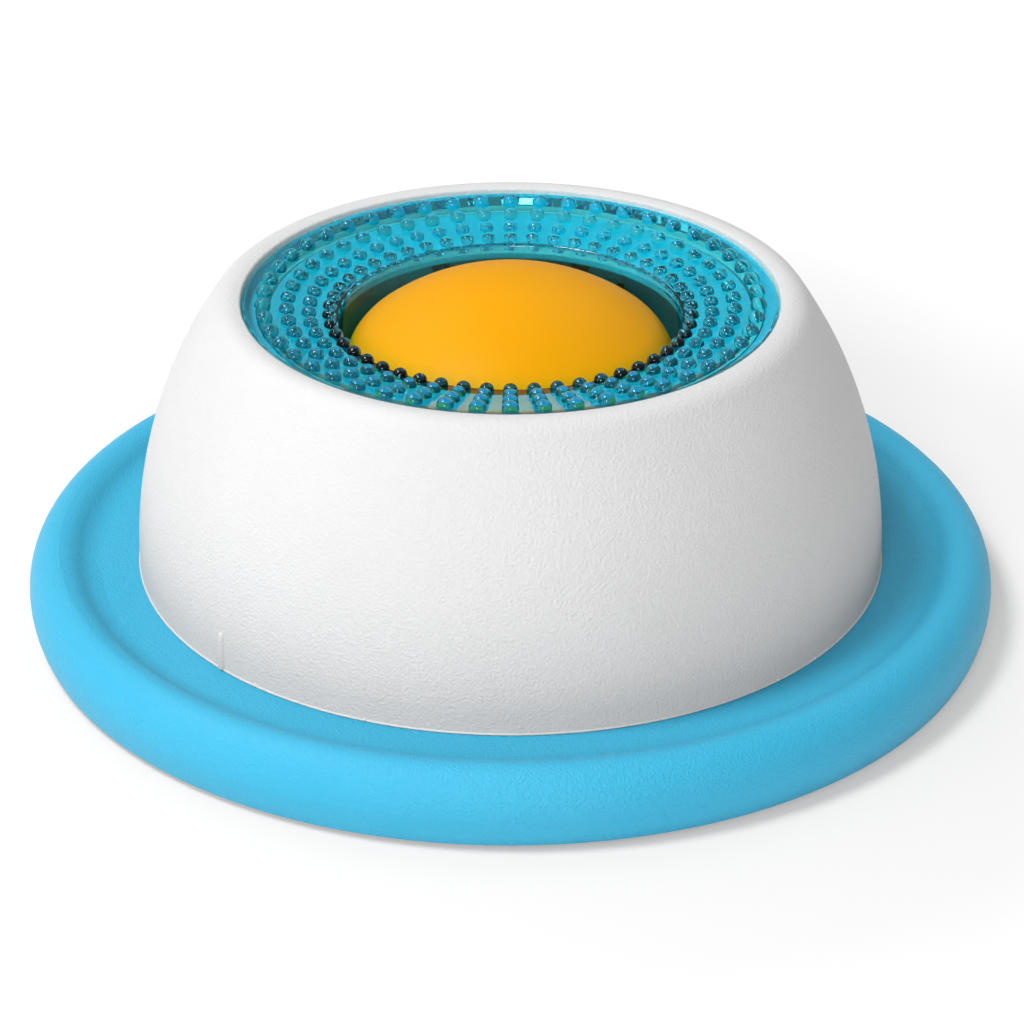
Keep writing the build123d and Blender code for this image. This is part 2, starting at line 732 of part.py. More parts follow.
def drop_shield():
    """Arched roof over the drop hole, screwed to the hopper wall."""
    outline = ((shield_inner, shield_bottom), (shield_outer, shield_bottom),
               (shield_outer, shield_top + shield_flange), (shield_face, shield_top + shield_flange),
               (shield_face, shield_top), (shield_inner, shield_top))
    shield = Rot(0, 0, 90 - shield_angle / 2) * turned(Polyline(*outline, close=True), shield_angle)
    return shield - around(shield_screw_hole(shield_outer + overrun), shield_screw_turns)


def shield_screws():
    """Small screws out through the shield's flange into the hopper wall."""
    length = hopper_outer - shield_screw_seat
    screw = pan_screw(shield_screw_head, shield_screw_head_height, shield_screw_shank, length)
    screw = Pos(shield_screw_seat, 0, shield_screw_height) * Rot(0, 90, 0) * screw
    return group(around(screw, shield_screw_turns))


def wiper_strip():
    """Rubber edge on the side of the shield where the pocket comes in."""
    strip = block(shield_inner + wiper_inset, shield_face - wiper_inset, wiper_thickness * half_share,
                  rotor_top + wiper_gap, shield_top)
    return Rot(0, 0, 90 - shield_angle / 2) * Pos(0, -wiper_thickness * half_share, 0) * strip


# Chute
def treat_chute():
    """Curved slide from the drop hole to the outlet, on legs that are its side walls."""
    back = pocket_inner - drop_spare - chute_back
    mouth = body_radius
    slope = math.radians(chute_steep)
    heading = (math.cos(slope), -math.sin(slope))
    lip = chassis_top + chute_wall
    top_line = TangentArc((back, deck_bottom), (mouth, lip), tangent=heading)
    under = TangentArc((back, deck_bottom - chute_wall), (mouth, chassis_top), tangent=heading)
    ends = [Line((back, deck_bottom), (back, deck_bottom - chute_wall)), Line((mouth, lip), (mouth, chassis_top))]
    outer_half = chute_half + chute_wall
    floor = extrude(Plane.XZ * make_face([top_line, under] + ends), outer_half, both=True)
    walls = [Pos(0, side * (outer_half - chute_wall * half_share), 0)
             * block(back, mouth, chute_wall * half_share, chassis_top, deck_bottom) for side in (-1, 1)]
    room = body_cavity(chute_inset) + (outlet_shape(outlet_gap) & rod(body_radius - chute_inset, floor_height, crest))
    room -= rod(body_radius, floor_height - overrun, chassis_top)
    return (Rot(0, 0, 90) * (floor + walls)) & room


# Lid
def dish(radius, thickness=0):
    """Height of the ring's dished face, or of its underside, at a radius."""
    middle = ring_top + math.sqrt(dish_radius ** 2 - (ring_radius - ring_edge_flat) ** 2)
    return middle - math.sqrt((dish_radius + thickness) ** 2 - radius ** 2)


def dish_arc(start, end, thickness=0):
    """Arc along the dished face, or along its underside, between two radii."""
    middle = (start + end) * half_share
    points = [(place, dish(place, thickness)) for place in (start, middle, end)]
    return ThreePointArc(*points)


def nub(size):
    """Ball with a small flat tip, its root cut off flat."""
    tip, root = math.radians(nub_tip_turn), math.radians(nub_root_turn)
    top, bottom = size * math.sin(tip), -size * math.sin(root)
    outline = [
        CenterArc((0, 0), size, -nub_root_turn, nub_root_turn + nub_tip_turn),
        Polyline((size * math.cos(tip), top), (0, top), (0, bottom), (size * math.cos(root), bottom)),
    ]
    return turned(outline)


def nub_ring():
    """See-through lid: dished ring with rows of nubs, a skirt and a collar round the dome."""
    edge = ring_radius - ring_edge_flat
    groove_top = ledge - groove_drop
    groove_bottom = groove_top - groove_height
    groove_floor = skirt_radius - groove_depth
    skirt_bottom = ledge - skirt_depth
    outline = [
        dish_arc(hole_radius, edge),
        Polyline((edge, ring_top), (ring_radius, ring_top), (ring_radius, ledge + touch_gap),
                 (skirt_radius, ledge + touch_gap), (skirt_radius, groove_top), (groove_floor, groove_top),
                 (groove_floor, groove_bottom), (skirt_radius, groove_bottom), (skirt_radius, skirt_bottom),
                 (skirt_inner, skirt_bottom), (skirt_inner, dish(skirt_inner, ring_plate))),
        dish_arc(skirt_inner, collar_radius, ring_plate),
        Polyline((collar_radius, dish(collar_radius, ring_plate)), (collar_radius, collar_bottom),
                 (hole_radius, collar_bottom), (hole_radius, dish(hole_radius))),
    ]
    ring = turned(outline)
    ring = round_rings(ring, hole_radius, dish(hole_radius), well_edge_round)
    ring = round_rings(ring, ring_radius, ring_top, ring_edge_round)
    nubs = []
    for share in nub_row_shares:
        place = hole_radius + ring_width * share
        size = nub_inner_radius + (nub_outer_radius - nub_inner_radius) * share
        stud = Pos(place, 0, dish(place) + size * nub_lift_share) * nub(size)
        nubs += around(stud, even_turns(nub_count, nub_start_angle))
    return ring + nubs


def lid_liner():
    """White plate bonded under the see-through ring, between its collar and its skirt."""
    near, far = collar_radius + liner_fit, skirt_inner - liner_fit
    high, low = ring_plate + touch_gap, ring_plate + touch_gap + liner_thickness
    outline = [
        dish_arc(near, far, high), Line((far, dish(far, high)), (far, dish(far, low))),
        dish_arc(far, near, low), Line((near, dish(near, low)), (near, dish(near, high))),
    ]
    return turned(outline)


def lid_gasket():
    """Silicone ring in the skirt's groove."""
    top = ledge - groove_drop - gasket_play
    bottom = ledge - groove_drop - groove_height + gasket_play
    return tube(skirt_radius - groove_depth + gasket_play, skirt_radius + gasket_proud, bottom, top)


pieces = (base_tray, anti_slip_feet, tray_screws, outer_shell, chassis_plate, shell_screws, guide_barrel,
          barrel_screws, barrel_cap, plunger, dome_button, dome_screw, return_spring, metering_rotor,
          stirring_fins, drive_pins, thrust_washer, hopper_deck, deck_screws, hopper_wall, hopper_funnel,
          drop_shield, shield_screws, wiper_strip, treat_chute, nub_ring, lid_liner, lid_gasket)

os.makedirs("parts", exist_ok=True)
for make in pieces:
    export_step(make(), f"parts/{make.__name__}.step")
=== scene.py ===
"""Studio scene of a press-to-feed dog toy: tray, domed body, clear nubbed lid ring, dome button."""

import logging
import math
from dataclasses import dataclass, field
from enum import Enum
from typing import Any, Iterable, Sequence

import bpy
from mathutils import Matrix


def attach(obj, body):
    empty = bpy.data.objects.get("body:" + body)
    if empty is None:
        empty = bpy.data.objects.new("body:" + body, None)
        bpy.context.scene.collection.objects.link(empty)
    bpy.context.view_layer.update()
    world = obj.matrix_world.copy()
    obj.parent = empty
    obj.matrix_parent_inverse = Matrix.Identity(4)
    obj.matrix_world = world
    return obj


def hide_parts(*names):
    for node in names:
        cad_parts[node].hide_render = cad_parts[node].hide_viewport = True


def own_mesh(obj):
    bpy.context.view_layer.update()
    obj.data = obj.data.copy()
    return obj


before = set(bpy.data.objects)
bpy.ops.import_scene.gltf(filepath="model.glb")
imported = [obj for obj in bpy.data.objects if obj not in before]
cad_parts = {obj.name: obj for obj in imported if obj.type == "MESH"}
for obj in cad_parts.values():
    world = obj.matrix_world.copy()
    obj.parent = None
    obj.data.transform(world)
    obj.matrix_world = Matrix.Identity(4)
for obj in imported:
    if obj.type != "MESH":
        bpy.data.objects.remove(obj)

MM = 0.001
SEGMENTS = 256                     # sides of every turned piece
SAME_POINT_MM = 1e-4               # closer points of a profile count as one
WELD = 0.002 * MM                  # closer vertices are merged
CREASE = math.radians(32)          # sharper edges of a moulded piece stay hard
NUB_CREASE = math.radians(40)
COIL_CREASE = math.radians(50)
NOISE_LOW, NOISE_HIGH = 0.3, 0.7   # most of a noise texture lies between these
WHITE = (1.0, 1.0, 1.0, 1.0)
PAPER = (0.8, 0.8, 0.8, 1.0)
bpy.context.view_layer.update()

# Sockets of the mix node go by number, because several of them share a name
MIX_FACTOR, MIX_FIRST, MIX_SECOND, MIX_RESULT = 0, 6, 7, 2

Point = tuple[float, float]
Place = tuple[float, float, float]
log = logging.getLogger("dog_toy")


def colour(code: str) -> tuple[float, float, float, float]:
    """Turn an sRGB hex value into linear red, green, blue and alpha.

    Args:
        code: Six hex digits, such as "F9AD14".

    Returns:
        Linear components with an alpha of one.
    """
    parts = [int(code[place:place + 2], 16) / 255 for place in (0, 2, 4)]
    linear = [part / 12.92 if part <= 0.04045 else ((part + 0.055) / 1.055) ** 2.4
              for part in parts]
    return linear[0], linear[1], linear[2], 1.0


def add_node(tree: bpy.types.NodeTree, kind: str, settings: dict[str, Any] | None = None,
             links: dict[str, bpy.types.NodeSocket] | None = None) -> bpy.types.Node:
    """Add a node, set it up and link its inputs.

    Args:
        tree: Node tree of a material or the world.
        kind: Blender's name of the node's type.
        settings: Values by socket name, or by property name where no socket has it.
        links: Output sockets by the name of the input that they feed.

    Returns:
        The new node.
    """
    node = tree.nodes.new(kind)
    for name, value in (settings or {}).items():
        if name in node.inputs:
            node.inputs[name].default_value = value
        else:
            setattr(node, name, value)
    for name, source in (links or {}).items():
        tree.links.new(source, node.inputs[name])
    return node


def add_maths(tree: bpy.types.NodeTree, operation: str, first: bpy.types.NodeSocket,
              second: bpy.types.NodeSocket) -> bpy.types.NodeSocket:
    """Add a math node with two linked inputs.

    Args:
        tree: Node tree to add to.
        operation: Blender's name of the operation.
        first: Output that feeds the first input.
        second: Output that feeds the second input.

    Returns:
        The output that gives the result.
    """
    node = add_node(tree, "ShaderNodeMath", {"operation": operation})
    tree.links.new(first, node.inputs[0])
    tree.links.new(second, node.inputs[1])
    return node.outputs["Value"]


def add_noise(tree: bpy.types.NodeTree, size_mm: float, detail: float,
              fineness: float = 0.5) -> bpy.types.NodeSocket:
    """Add a noise texture that lies on the piece's own coordinates.

    Args:
        tree: Node tree to add to.
        size_mm: Size of the pattern on the real piece.
        detail: How many finer layers it has.
        fineness: Weight of each finer layer against the one before.

    Returns:
        The output that gives the noise.
    """
    place = add_node(tree, "ShaderNodeTexCoord").outputs["Object"]
    noise = add_node(tree, "ShaderNodeTexNoise",
                     {"Scale": 1 / (size_mm * MM), "Detail": detail, "Roughness": fineness},
                     {"Vector": place})
    return noise.outputs["Fac"]


def mix_colours(tree: bpy.types.NodeTree, factor: bpy.types.NodeSocket, first: str,
                second: str) -> bpy.types.NodeSocket:
    """Blend two colours by a texture.

    Args:
        tree: Node tree to add to.
        factor: Output that runs from 0, the first colour, to 1, the second.
        first: Hex value of the first colour.
        second: Hex value of the second colour.

    Returns:
        The output that gives the blended colour.
    """
    ramp = add_node(tree, "ShaderNodeValToRGB", None, {"Fac": factor})
    low, high = ramp.color_ramp.elements
    low.position, high.position = NOISE_LOW, NOISE_HIGH
    low.color, high.color = colour(first), colour(second)
    return ramp.outputs["Color"]


def empty_material(name: str) -> tuple[bpy.types.Material, bpy.types.NodeTree, bpy.types.Node]:
    """Make a material that holds only its output node.

    Args:
        name: Name of the material.

    Returns:
        The material, its node tree and the output node.
    """
    material = bpy.data.materials.new(name)
    material.use_nodes = True
    tree = material.node_tree
    tree.nodes.clear()
    return material, tree, add_node(tree, "ShaderNodeOutputMaterial")


@dataclass(frozen=True)
class MouldedPlastic:
    """Opaque plastic from a textured mould: a fine pebbled grain and faint clouds in its colour."""

    name: str
    base: str
    cloud: str
    roughness: float
    grain_mm: float
    relief_mm: float
    ior: float = 1.49
    specular: float = 0.5
    sheen_gap: float = 0.08
    cast: str | None = None
    cloud_mm: float = 28.0
    cloud_detail: float = 3.0
    grain_detail: float = 2.0
    grain_fineness: float = 0.55

    def muted(self, tree: bpy.types.NodeTree, tint: bpy.types.NodeSocket) -> bpy.types.NodeSocket:
        """Mute the light thrown on neighbours, which take on little colour in the photograph.

        Args:
            tree: Node tree to add to.
            tint: Output that gives the plastic's own colour.

        Returns:
            Output that gives the cast colour to bounced light and the plastic's own to the rest.
        """
        path = add_node(tree, "ShaderNodeLightPath")
        mix = add_node(tree, "ShaderNodeMix", {"data_type": "RGBA"})
        tree.links.new(path.outputs["Is Diffuse Ray"], mix.inputs[MIX_FACTOR])
        tree.links.new(tint, mix.inputs[MIX_FIRST])
        mix.inputs[MIX_SECOND].default_value = colour(self.cast)
        return mix.outputs[MIX_RESULT]

    def material(self) -> bpy.types.Material:
        """Build the material."""
        material, tree, output = empty_material(self.name)
        clouds = add_noise(tree, self.cloud_mm, self.cloud_detail)
        grain = add_noise(tree, self.grain_mm, self.grain_detail, self.grain_fineness)
        tint = mix_colours(tree, clouds, self.base, self.cloud)
        if self.cast is not None:
            tint = self.muted(tree, tint)
        gloss = add_node(tree, "ShaderNodeMapRange",
                         {"From Min": NOISE_LOW, "From Max": NOISE_HIGH,
                          "To Min": self.roughness - self.sheen_gap,
                          "To Max": self.roughness + self.sheen_gap}, {"Value": grain})
        bump = add_node(tree, "ShaderNodeBump",
                        {"Strength": 1.0, "Distance": self.relief_mm * MM}, {"Height": grain})
        shader = add_node(tree, "ShaderNodeBsdfPrincipled",
                          {"IOR": self.ior, "Specular IOR Level": self.specular},
                          {"Base Color": tint, "Roughness": gloss.outputs["Result"],
                           "Normal": bump.outputs["Normal"]})
        tree.links.new(shader.outputs["BSDF"], output.inputs["Surface"])
        return material


@dataclass(frozen=True)
class ClearPlastic:
    """Clear tinted acrylic, polished in the mould: sharp highlights and faint flow marks."""

    name: str
    tint: str
    lamp_tint: str
    roughness: float
    clarity: float = 1.0
    ior: float = 1.49
    flow_mm: float = 9.0
    flow_detail: float = 1.0
    flow_relief_mm: float = 0.05
    flow_strength: float = 0.15

    def material(self) -> bpy.types.Material:
        """Build the material."""
        material, tree, output = empty_material(self.name)
        bump = add_node(tree, "ShaderNodeBump",
                        {"Strength": self.flow_strength, "Distance": self.flow_relief_mm * MM},
                        {"Height": add_noise(tree, self.flow_mm, self.flow_detail)})
        shader = add_node(tree, "ShaderNodeBsdfPrincipled",
                          {"Base Color": colour(self.tint), "Roughness": self.roughness,
                           "IOR": self.ior, "Transmission Weight": self.clarity},
                          {"Normal": bump.outputs["Normal"]})
        # Lamps shine straight through, tinted, so that what lies under the plastic is lit
        path = add_node(tree, "ShaderNodeLightPath")
        through = add_node(tree, "ShaderNodeBsdfTransparent", {"Color": colour(self.lamp_tint)})
        mix = add_node(tree, "ShaderNodeMixShader", None, {"Fac": path.outputs["Is Shadow Ray"]})
        tree.links.new(shader.outputs["BSDF"], mix.inputs[1])
        tree.links.new(through.outputs["BSDF"], mix.inputs[2])
        tree.links.new(mix.outputs["Shader"], output.inputs["Surface"])
        return material


@dataclass(frozen=True)
class PlatedSteel:
    """Zinc plated or bright drawn steel: a metal sheen that is a little uneven."""

    name: str
    base: str
    roughness: float
    patch_mm: float
    patch_detail: float = 2.0
    unevenness: float = 0.3

    def material(self) -> bpy.types.Material:
        """Build the material."""
        material, tree, output = empty_material(self.name)
        gloss = add_node(tree, "ShaderNodeMapRange",
                         {"To Min": self.roughness * (1 - self.unevenness),
                          "To Max": self.roughness * (1 + self.unevenness)},
                         {"Value": add_noise(tree, self.patch_mm, self.patch_detail)})
        shader = add_node(tree, "ShaderNodeBsdfPrincipled",
                          {"Base Color": colour(self.base), "Metallic": 1.0},
                          {"Roughness": gloss.outputs["Result"]})
        tree.links.new(shader.outputs["BSDF"], output.inputs["Surface"])
        return material


class Finish(Enum):
    """Every finish on the toy, each with what it gives the eye."""

    # Light blue with a soft sheen and a fine pebbled grain
    TRAY = MouldedPlastic("satin_polypropylene_sky_blue", "3CC6F2", "42C8F3", roughness=0.48,
                          grain_mm=0.55, relief_mm=0.3, cast="949DA2")
    # Neutral matt white with a fine pebbled grain
    BODY = MouldedPlastic("textured_abs_white", "EDEDED", "F0F0F1", roughness=0.55,
                          grain_mm=0.6, relief_mm=0.24, cast="909090")
    # Warm golden yellow, smooth and with hardly any shine
    DOME = MouldedPlastic("satin_abs_golden_yellow", "FEAE02", "FFB204", roughness=0.45,
                          grain_mm=0.8, relief_mm=0.03, ior=1.53, specular=0.09)
    # Smooth off-white of the plain pieces inside, also put on the lid ring's skirt as painted light
    INNER = MouldedPlastic("plain_acetal_white", "E6E6E0", "EAEAE5", roughness=0.4,
                           grain_mm=0.8, relief_mm=0.02)
    # Pale grey that tells the turning rotor from the fixed pieces
    ROTOR = MouldedPlastic("plain_acetal_pale_grey", "D5D8DA", "DADDDF", roughness=0.4,
                           grain_mm=0.8, relief_mm=0.02)
    # Dark and dull, for the pads and the wiper
    RUBBER = MouldedPlastic("moulded_rubber_charcoal", "2B2D2F", "323436", roughness=0.75,
                            grain_mm=0.5, relief_mm=0.05, ior=1.52)
    # Milky white with a dull shine
    SILICONE = MouldedPlastic("moulded_silicone_milky", "DDE4E4", "E4EAEA", roughness=0.5,
                              grain_mm=0.6, relief_mm=0.02, ior=1.41)
    # See-through teal that shows the white liner and the dark well behind it
    RING = ClearPlastic("clear_acrylic_teal", "38CCE2", "95F3F7", roughness=0.03)
    # The same teal, slightly milky, so that the nubs stand out from the ring
    NUB = ClearPlastic("milky_acrylic_teal", "1EBCDC", "95F3F7", roughness=0.02, clarity=0.82)
    # Grey metal with soft reflections
    SCREW = PlatedSteel("zinc_plated_steel", "B4B6BA", roughness=0.32, patch_mm=0.4)
    # Lighter metal with sharper reflections
    WIRE = PlatedSteel("bright_drawn_steel", "C4C6CA", roughness=0.22, patch_mm=0.3)


MATERIALS: dict[Finish, bpy.types.Material] = {}


def finish_material(finish: Finish) -> bpy.types.Material:
    """Build a finish's material once and hand it out."""
    if finish not in MATERIALS:
        MATERIALS[finish] = finish.value.material()
    return MATERIALS[finish]


def arc(middle: Point, radius: float, start: float, end: float, steps: int) -> list[Point]:
    """Points along an arc of a profile.

    Args:
        middle: Radius and height of the arc's middle, in millimetres.
        radius: Radius of the arc.
        start: Angle of the first point in degrees, with zero pointing outwards.
        end: Angle of the last point.
        steps: How many runs the arc is divided into.

    Returns:
        Points as radius and height.
    """
    turns = [math.radians(start + (end - start) * step / steps) for step in range(steps + 1)]
    return [(middle[0] + radius * math.cos(turn), middle[1] + radius * math.sin(turn))
            for turn in turns]


def stretch(first: Point, last: Point, steps: int) -> list[Point]:
    """Points along a straight run of a profile, both ends included."""
    return [(first[0] + (last[0] - first[0]) * step / steps,
             first[1] + (last[1] - first[1]) * step / steps) for step in range(steps + 1)]


def thin_out(profile: Iterable[Point]) -> list[Point]:
    """Drop points of a profile that repeat the one before."""
    kept: list[Point] = []
    for point in profile:
        if not kept or math.dist(kept[-1], point) > SAME_POINT_MM:
            kept.append(point)
    return kept


def select_only(*pieces: bpy.types.Object) -> None:
    """Leave edit mode and select only these objects, the first one active."""
    if bpy.context.object is not None and bpy.context.object.mode != "OBJECT":
        bpy.ops.object.mode_set(mode="OBJECT")
    bpy.ops.object.select_all(action="DESELECT")
    for piece in pieces:
        piece.select_set(True)
    if pieces:
        bpy.context.view_layer.objects.active = pieces[0]


def keep_new(name: str) -> bpy.types.Object:
    """Name the primitive that was just added and put its place into its mesh."""
    piece = bpy.context.object
    piece.name = piece.data.name = name
    bpy.ops.object.transform_apply(location=True, rotation=True, scale=True)
    return piece


def open_edit() -> None:
    """Enter edit mode with the whole mesh selected."""
    bpy.ops.object.mode_set(mode="EDIT")
    bpy.ops.mesh.select_all(action="SELECT")


def close_edit() -> None:
    """Turn all faces outwards and leave edit mode."""
    bpy.ops.mesh.select_all(action="SELECT")
    bpy.ops.mesh.normals_make_consistent(inside=False)
    bpy.ops.object.mode_set(mode="OBJECT")


def copy_round(count: int) -> None:
    """Copy what is selected in edit mode round the toy's axis until there are this many."""
    copies = count - 1
    bpy.ops.mesh.spin(steps=copies, dupli=True, angle=2 * math.pi * copies / count,
                      center=(0, 0, 0), axis=(0, 0, 1))


def turn_piece(name: str, profile: Sequence[Point], closed: bool = True) -> bpy.types.Object:
    """Turn a profile about the toy's axis, ring by ring.

    Args:
        name: Name of the new piece.
        profile: Points as radius and height in millimetres.
        closed: True where the last ring joins the first, False where it closes in a tip.

    Returns:
        The turned piece.
    """
    points = thin_out(profile)
    if closed and math.dist(points[0], points[-1]) > SAME_POINT_MM:
        points.append(points[0])
    radius, height = points[0]
    select_only()
    bpy.ops.mesh.primitive_circle_add(vertices=SEGMENTS, radius=radius * MM,
                                      location=(0, 0, height * MM))
    piece = keep_new(name)
    bpy.ops.object.mode_set(mode="EDIT")
    bpy.ops.mesh.select_mode(type="EDGE")
    bpy.ops.mesh.select_all(action="SELECT")
    for (near, low), (far, high) in zip(points, points[1:]):
        bpy.ops.mesh.extrude_edges_move(TRANSFORM_OT_translate={"value": (0, 0, (high - low) * MM)})
        bpy.ops.transform.resize(value=(far / near, far / near, 1),
                                 center_override=(0, 0, high * MM))
    if not closed:
        bpy.ops.mesh.merge(type="CENTER")
    bpy.ops.mesh.select_all(action="SELECT")
    bpy.ops.mesh.remove_doubles(threshold=WELD)
    close_edit()
    bpy.ops.object.shade_smooth_by_angle(angle=CREASE)
    return piece


def combine(piece: bpy.types.Object, tool: bpy.types.Object, operation: str) -> None:
    """Join or cut a piece with another and remove the other.

    Args:
        piece: Piece that is kept.
        tool: Piece that is used up.
        operation: "UNION" or "DIFFERENCE".
    """
    select_only(piece)
    modifier = piece.modifiers.new(operation.lower(), "BOOLEAN")
    modifier.operation, modifier.solver, modifier.object = operation, "EXACT", tool
    modifier.material_mode = "TRANSFER"
    bpy.ops.object.modifier_apply(modifier=modifier.name)
    bpy.data.objects.remove(tool, do_unlink=True)


def place_piece(piece: bpy.types.Object, body: str, finish: Finish | None, slot: str,
                *nodes: str) -> None:
    """Give a new piece its finish and its place in the frame.

    Args:
        piece: The new piece.
        body: Body of the frame that it moves with.
        finish: Finish that it is dressed in, or None where its faces have theirs already.
        slot: Slot of the record that it takes its finish from; not used.
        nodes: Nodes of the frame that it stands for.
    """
    if finish is not None:
        piece.data.materials.clear()
        piece.data.materials.append(finish_material(finish))
    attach(piece, body)
    if nodes:
        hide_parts(*nodes)
    log.info("%s: %d faces, rides on %s", piece.name, len(piece.data.polygons), body)


@dataclass
class Body:
    """Domed body with a rounded lip, the lid ring's seat and the outlet. Sizes in millimetres."""

    radius: float = 77.0
    foot: float = 11.8
    straight: float = 2.2
    wall: float = 3.2
    crest: float = 69.3
    lip_round: float = 5.0
    lip_radius: float = 56.4
    seat: float = 54.4
    ledge: float = 64.8
    neck: float = 51.9
    flange: float = 61.4
    edge: float = 0.6
    edge_turn: float = 100.0
    outlet_half: float = 16.4
    outlet_top: float = 30.0
    outlet_round: float = 8.0
    outlet_depth: float = 24.0
    outlet_overrun: float = 2.0
    outlet_steps: int = 8
    bead: float = 0.25
    drip_turn: float = 222.5
    drip_height: float = 8.3
    drip_sizes: tuple[float, float] = (1.2, 0.8)
    drip_sink: float = 0.5
    drip_round: float = 0.8
    drip_crease: float = math.radians(40)
    drip_sides: int = 24
    drip_steps: int = 3
    flash_turns: tuple[float, ...] = (229.75, 248.75, 312.75, 321.25)
    flash_size: float = 0.4
    flash_sides: int = 12
    flash_rings: int = 8
    boss_count: int = 4
    boss_turn: float = math.radians(45)
    boss_circle: float = 70.5
    boss_radius: float = 4.5
    boss_bottom: float = 14.8
    boss_height: float = 12.0
    boss_sides: int = 32
    pilot_radius: float = 1.55
    pilot_overrun: float = 1.0
    pilot_top: float = 23.8

    def profile(self) -> list[Point]:
        """Closed profile of the body's wall, outside first."""
        start, lip = self.foot + self.straight, self.crest - self.lip_round
        reach, climb = self.radius - self.lip_radius, lip - start
        curve = (reach ** 2 + climb ** 2 - self.lip_round ** 2) / (2 * (reach - self.lip_round))
        middle = (self.radius - curve, start)
        turn = math.degrees(math.atan2(climb, self.lip_radius - middle[0]))
        lip_run = self.seat + self.edge - self.lip_radius
        seat_turn = math.degrees(math.acos(lip_run / self.lip_round))
        seat_edge = lip + math.sqrt(self.lip_round ** 2 - lip_run ** 2)
        inner = curve - self.wall
        inner_turn = math.degrees(math.asin((self.flange - start) / inner))
        return (arc((self.radius, self.foot + self.bead), self.bead, -90, 90, steps=8)
                + stretch((self.radius, self.foot + 2 * self.bead), (self.radius, start), steps=2)
                + arc(middle, curve, 0, turn, steps=40)
                + arc((self.lip_radius, lip), self.lip_round, turn, seat_turn, steps=16)
                + arc((self.seat + self.edge, seat_edge - self.edge), self.edge, self.edge_turn,
                      180, steps=4)
                + [(self.seat, self.ledge), (self.neck, self.ledge), (self.neck, self.flange)]
                + arc(middle, inner, inner_turn, 0, steps=30)
                + [(self.radius - self.wall, self.foot)])

    def outlet_tool(self) -> bpy.types.Object:
        """Arched block that cuts the outlet."""
        bottom = self.foot - self.outlet_overrun
        middle = (self.outlet_top + bottom) / 2
        select_only()
        bpy.ops.mesh.primitive_cube_add(
            size=1, location=(0, self.radius * MM, middle * MM),
            scale=(2 * self.outlet_half * MM, self.outlet_depth * MM,
                   (self.outlet_top - bottom) * MM))
        tool = keep_new("outlet_tool")
        bpy.ops.object.mode_set(mode="EDIT")
        bpy.ops.mesh.select_mode(type="EDGE")
        bpy.ops.mesh.select_all(action="DESELECT")
        bpy.ops.object.mode_set(mode="OBJECT")
        # Only the two upper edges that run into the body are rounded
        for rail in tool.data.edges:
            first, last = (tool.data.vertices[place].co for place in rail.vertices)
            rail.select = min(first.z, last.z) > middle * MM and abs(first.x - last.x) < MM
        bpy.ops.object.mode_set(mode="EDIT")
        bpy.ops.mesh.bevel(offset=self.outlet_round * MM, segments=self.outlet_steps,
                           affect="EDGES")
        bpy.ops.object.mode_set(mode="OBJECT")
        return tool

    def foot_place(self, turn: float, height: float, sink: float = 0.0) -> Place:
        """Place at the body's foot, in metres.

        Args:
            turn: Turn about the toy's axis in degrees.
            height: Height above the foot in millimetres.
            sink: Depth in the wall in millimetres.

        Returns:
            The place.
        """
        angle, reach = math.radians(turn), (self.radius - sink) * MM
        return reach * math.cos(angle), reach * math.sin(angle), (self.foot + height) * MM

    def moulding_marks(self) -> bpy.types.Object:
        """Model the drip that the mould left at the left of the foot and the flash on its edge.

        Returns:
            The marks as one piece, half sunk in the body.
        """
        low, high = self.drip_sizes
        place = self.foot_place(self.drip_turn, self.drip_height / 2, self.drip_sink)
        select_only()
        bpy.ops.mesh.primitive_cone_add(vertices=self.drip_sides, radius1=low * MM,
                                        radius2=high * MM, depth=self.drip_height * MM,
                                        location=place)
        marks = [keep_new("moulding_drip")]
        soften = marks[0].modifiers.new("soften", "BEVEL")
        soften.width, soften.segments = high * self.drip_round * MM, self.drip_steps
        soften.angle_limit = self.drip_crease
        bpy.ops.object.modifier_apply(modifier=soften.name)
        for turn in self.flash_turns:
            select_only()
            bpy.ops.mesh.primitive_uv_sphere_add(
                segments=self.flash_sides, ring_count=self.flash_rings,
                radius=self.flash_size * MM, location=self.foot_place(turn, self.flash_size))
            marks.append(keep_new("flash_bit"))
        select_only(*marks)
        bpy.ops.object.join()
        return marks[0]

    def posts(self, name: str, radius: float, bottom: float, top: float) -> bpy.types.Object:
        """Model one upright post at a screw boss and copy it to all of them.

        Args:
            name: Name of the new piece.
            radius: Radius of a post.
            bottom: Height of its lower end.
            top: Height of its upper end.

        Returns:
            The posts as one piece.
        """
        place = (self.boss_circle * math.cos(self.boss_turn) * MM,
                 self.boss_circle * math.sin(self.boss_turn) * MM, (bottom + top) / 2 * MM)
        select_only()
        bpy.ops.mesh.primitive_cylinder_add(vertices=self.boss_sides, radius=radius * MM,
                                            depth=(top - bottom) * MM, location=place)
        post = keep_new(name)
        open_edit()
        copy_round(self.boss_count)
        close_edit()
        return post

    def build(self) -> None:
        """Turn the body, give it its bosses and marks, cut its outlet and dress it."""
        body = turn_piece("body_shell", self.profile())
        boss_top = self.boss_bottom + self.boss_height
        pilot_bottom = self.boss_bottom - self.pilot_overrun
        combine(body, self.posts("bosses", self.boss_radius, self.boss_bottom, boss_top), "UNION")
        combine(body, self.posts("pilots", self.pilot_radius, pilot_bottom, self.pilot_top),
                "DIFFERENCE")
        combine(body, self.moulding_marks(), "UNION")
        combine(body, self.outlet_tool(), "DIFFERENCE")
        select_only(body)
        bpy.ops.object.shade_smooth_by_angle(angle=CREASE)
        place_piece(body, "base", Finish.BODY, "body_white", "outer_shell")


